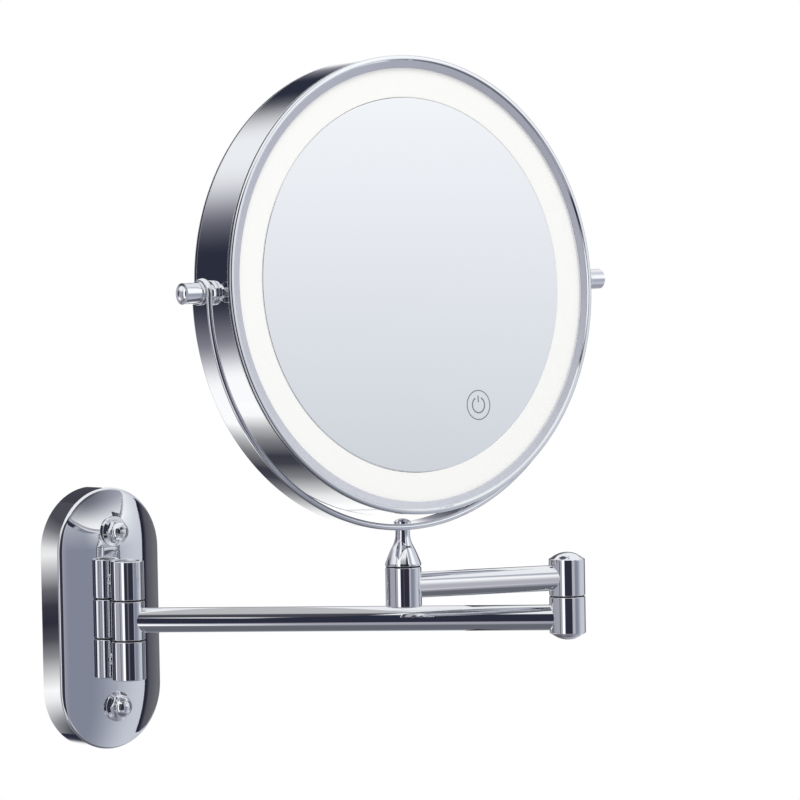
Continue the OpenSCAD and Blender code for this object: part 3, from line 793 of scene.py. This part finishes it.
def near_cards():
    """Shade that the world alone can't give, with each card placed for one region of the chrome.

    They make the chrome look as in the photo from the photo's viewpoint. From elsewhere a card may show
    in the mirrors as a shape.
    """
    across, upright = (1, 0, 0), (0, 0, 1)
    card("front_flag", (0.037, -0.65, -0.4), (-0.55, -0.255, 0), (0, 0, 0.9), upright,
         [(-0.4, 0.03), (0.5, 0.03)], soft=0.05)
    card("right_flag", (0.15, -0.10, -0.13), (0.18, 0.07, 0), (0, 0, 0.23), across,
         [(0.15, 0.02), (0.157, 0.02), (0.166, 0.1), (0.2, 0.18), (0.26, 0.12), (0.33, 0.08)], reach=0.36)
    card("plate_side_shade", (-0.07, 0.03, -0.09), (0.055, 0, 0), (0, 0, 0.18), upright,
         [(-0.085, 0.08), (-0.075, 0.3), (-0.066, 0.6), (-0.052, 0.95), (-0.038, 1.1), (-0.03, 0.7),
          (-0.0215, 0.29), (-0.013, 0.08), (-0.005, 0.03), (0.0035, 0.045), (0.0115, 0.16), (0.0195, 0.5),
          (0.028, 0.95), (0.036, 0.85), (0.05, 0.42), (0.06, 0.2), (0.072, 0.08)], reach=0.08)
    card("plate_top_shade", (-0.015, 0.03, 0.068), (0.045, 0, 0), (0, 0, 0.03), upright,
         [(0.068, 0.07), (0.098, 0.05)], reach=0.08)
    corner, width, length = Vector((-0.07, -0.142, 0.035)), (0.145, 0, 0), (0, 0.104, 0)
    card("drum_shade", corner, width, length, across,
         [(-0.07, 1.15), (-0.05, 1.08), (-0.034, 0.5), (-0.022, 0.24), (-0.006, 0.05), (0.002, 0.06),
          (0.016, 0.25), (0.04, 0.9), (0.06, 1.1)], reach=0.2, soft=0.05)
    card("tube_top_shade", corner - Vector((0, 0, 0.0005)), width, length, (-0.743, -0.669, 0),
         [(0, 0.55), (0.041, 0.55), (0.051, 0.07), (0.12, 0.06)], reach=0.08)


def floor():
    """Plain pale floor, well below the arm."""
    half, level, steps = 3.0, -0.75, 24
    row = steps + 1
    places = [half * (2 * i / steps - 1) for i in range(row)]
    verts = [(x, y, level) for y in places for x in places]
    corners = [j * row + i for j in range(steps) for i in range(steps)]
    faces = [(a, a + 1, a + row + 1, a + row) for a in corners]
    paint = surface("floor_paint", (0.86, 0.86, 0.86), 0.7, scale=30, shade=0.02, bump=0)
    made = stage_mesh("floor", verts, faces, paint)
    made.visible_glossy = False


def key_light():
    """One large soft light from above, for what isn't metal."""
    light = bpy.data.lights.new("soft_key", "AREA")
    light.size, light.energy = 1.2, 12
    made = bpy.data.objects.new("soft_key", light)
    made.location = (-0.5, -1.0, 1.6)
    aim = Vector((0, -0.1, 0.1))
    made.rotation_euler = (aim - made.location).to_track_quat("-Z", "Y").to_euler()
    made.visible_glossy = False
    bpy.context.scene.collection.objects.link(made)


def camera():
    """The photo's viewpoint, from fitting a perspective camera to the object's outlines."""
    lens = bpy.data.cameras.new("camera")
    lens.lens, lens.sensor_width = 192.24, 36
    made = bpy.data.objects.new("camera", lens)
    eye = (-1.24676, -1.62160, 0.20397)
    yaw, pitch, roll = -0.7285, -0.0503, 0.0178
    made.matrix_world = (Matrix.Translation(eye) @ Matrix.Rotation(yaw, 4, "Z")
                         @ Matrix.Rotation(pitch, 4, "X") @ Matrix.Rotation(roll, 4, "Y")
                         @ Matrix.Rotation(math.pi / 2, 4, "X"))
    bpy.context.scene.collection.objects.link(made)
    bpy.context.scene.camera = made


studio()
near_cards()
floor()
key_light()
camera()
bpy.context.scene.view_settings.view_transform = "Standard"
